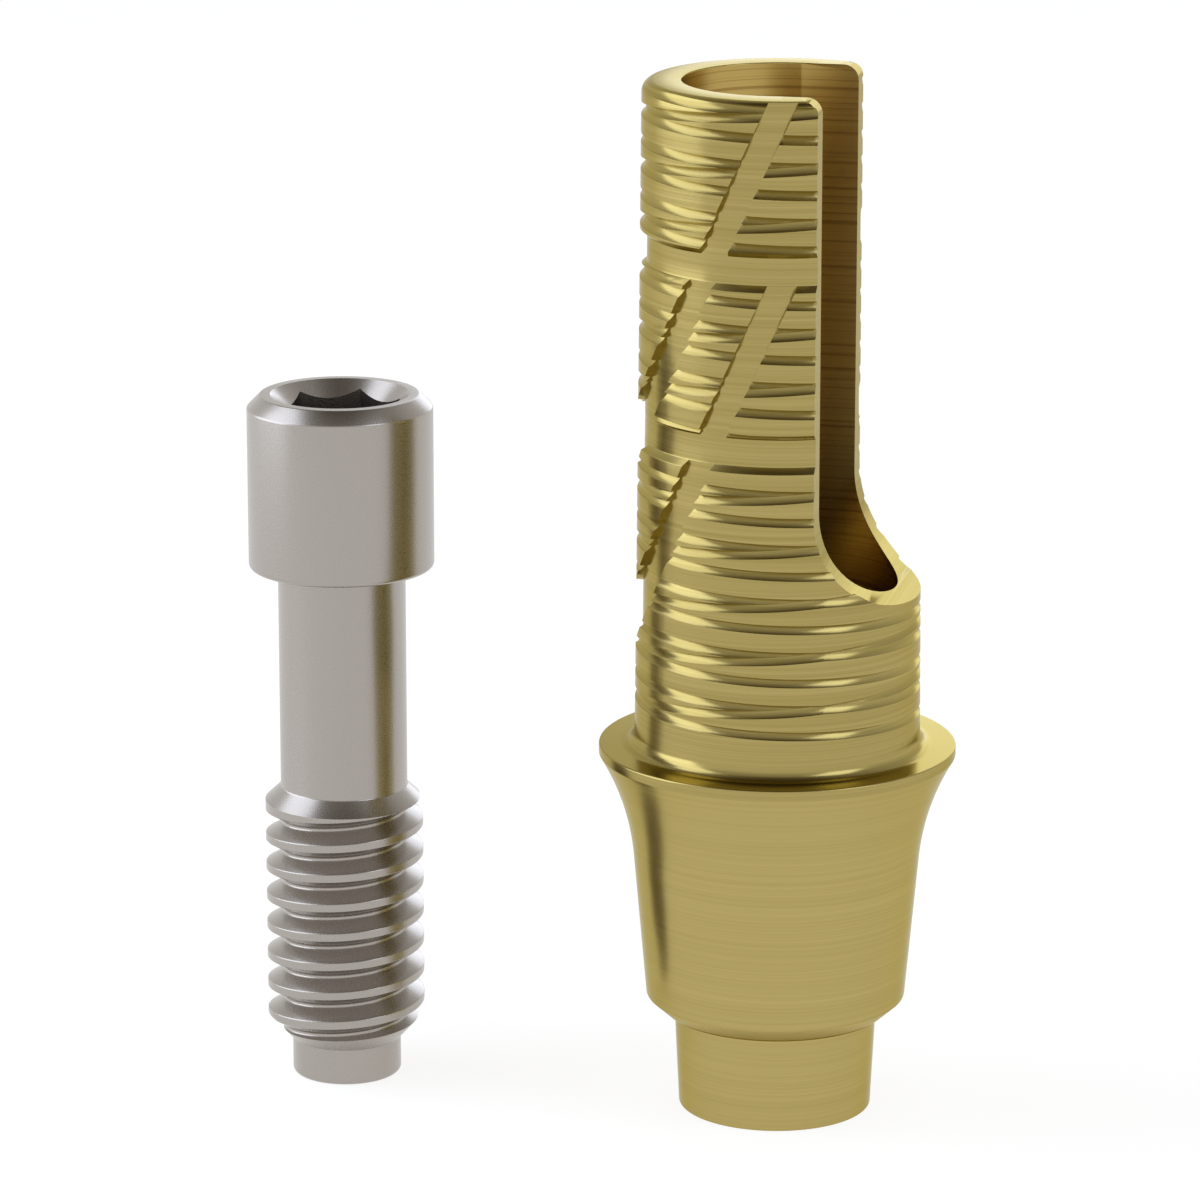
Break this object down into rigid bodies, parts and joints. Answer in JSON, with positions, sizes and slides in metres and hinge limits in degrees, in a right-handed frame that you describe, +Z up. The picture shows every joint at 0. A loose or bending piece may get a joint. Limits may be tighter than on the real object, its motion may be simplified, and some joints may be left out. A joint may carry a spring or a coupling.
{
  "type": "dental abutment",
  "caption": "Titanium base abutment for a dental implant: conical foot, flared collar and a grooved sleeve cut open on one side, with its hexagon socket retaining screw standing beside it.",
  "frame": {"origin": "on the abutment's axis, in the plane of the foot of its nose", "axes": "+Z up along the abutment's axis from the foot to the sleeve, +X towards the cut-out in the sleeve; the screw stands on the same plane towards -X"},
  "size_m": [0.0081, 0.004, 0.0117],
  "materials": {
    "gold_titanium": "gold coloured titanium with fine turning lines",
    "bare_titanium": "bare titanium, satin with a fine grain"
  },
  "bodies": {
    "root": {"abutment_body": "gold_titanium", "abutment_screw": "bare_titanium"}
  },
  "joints": []
}
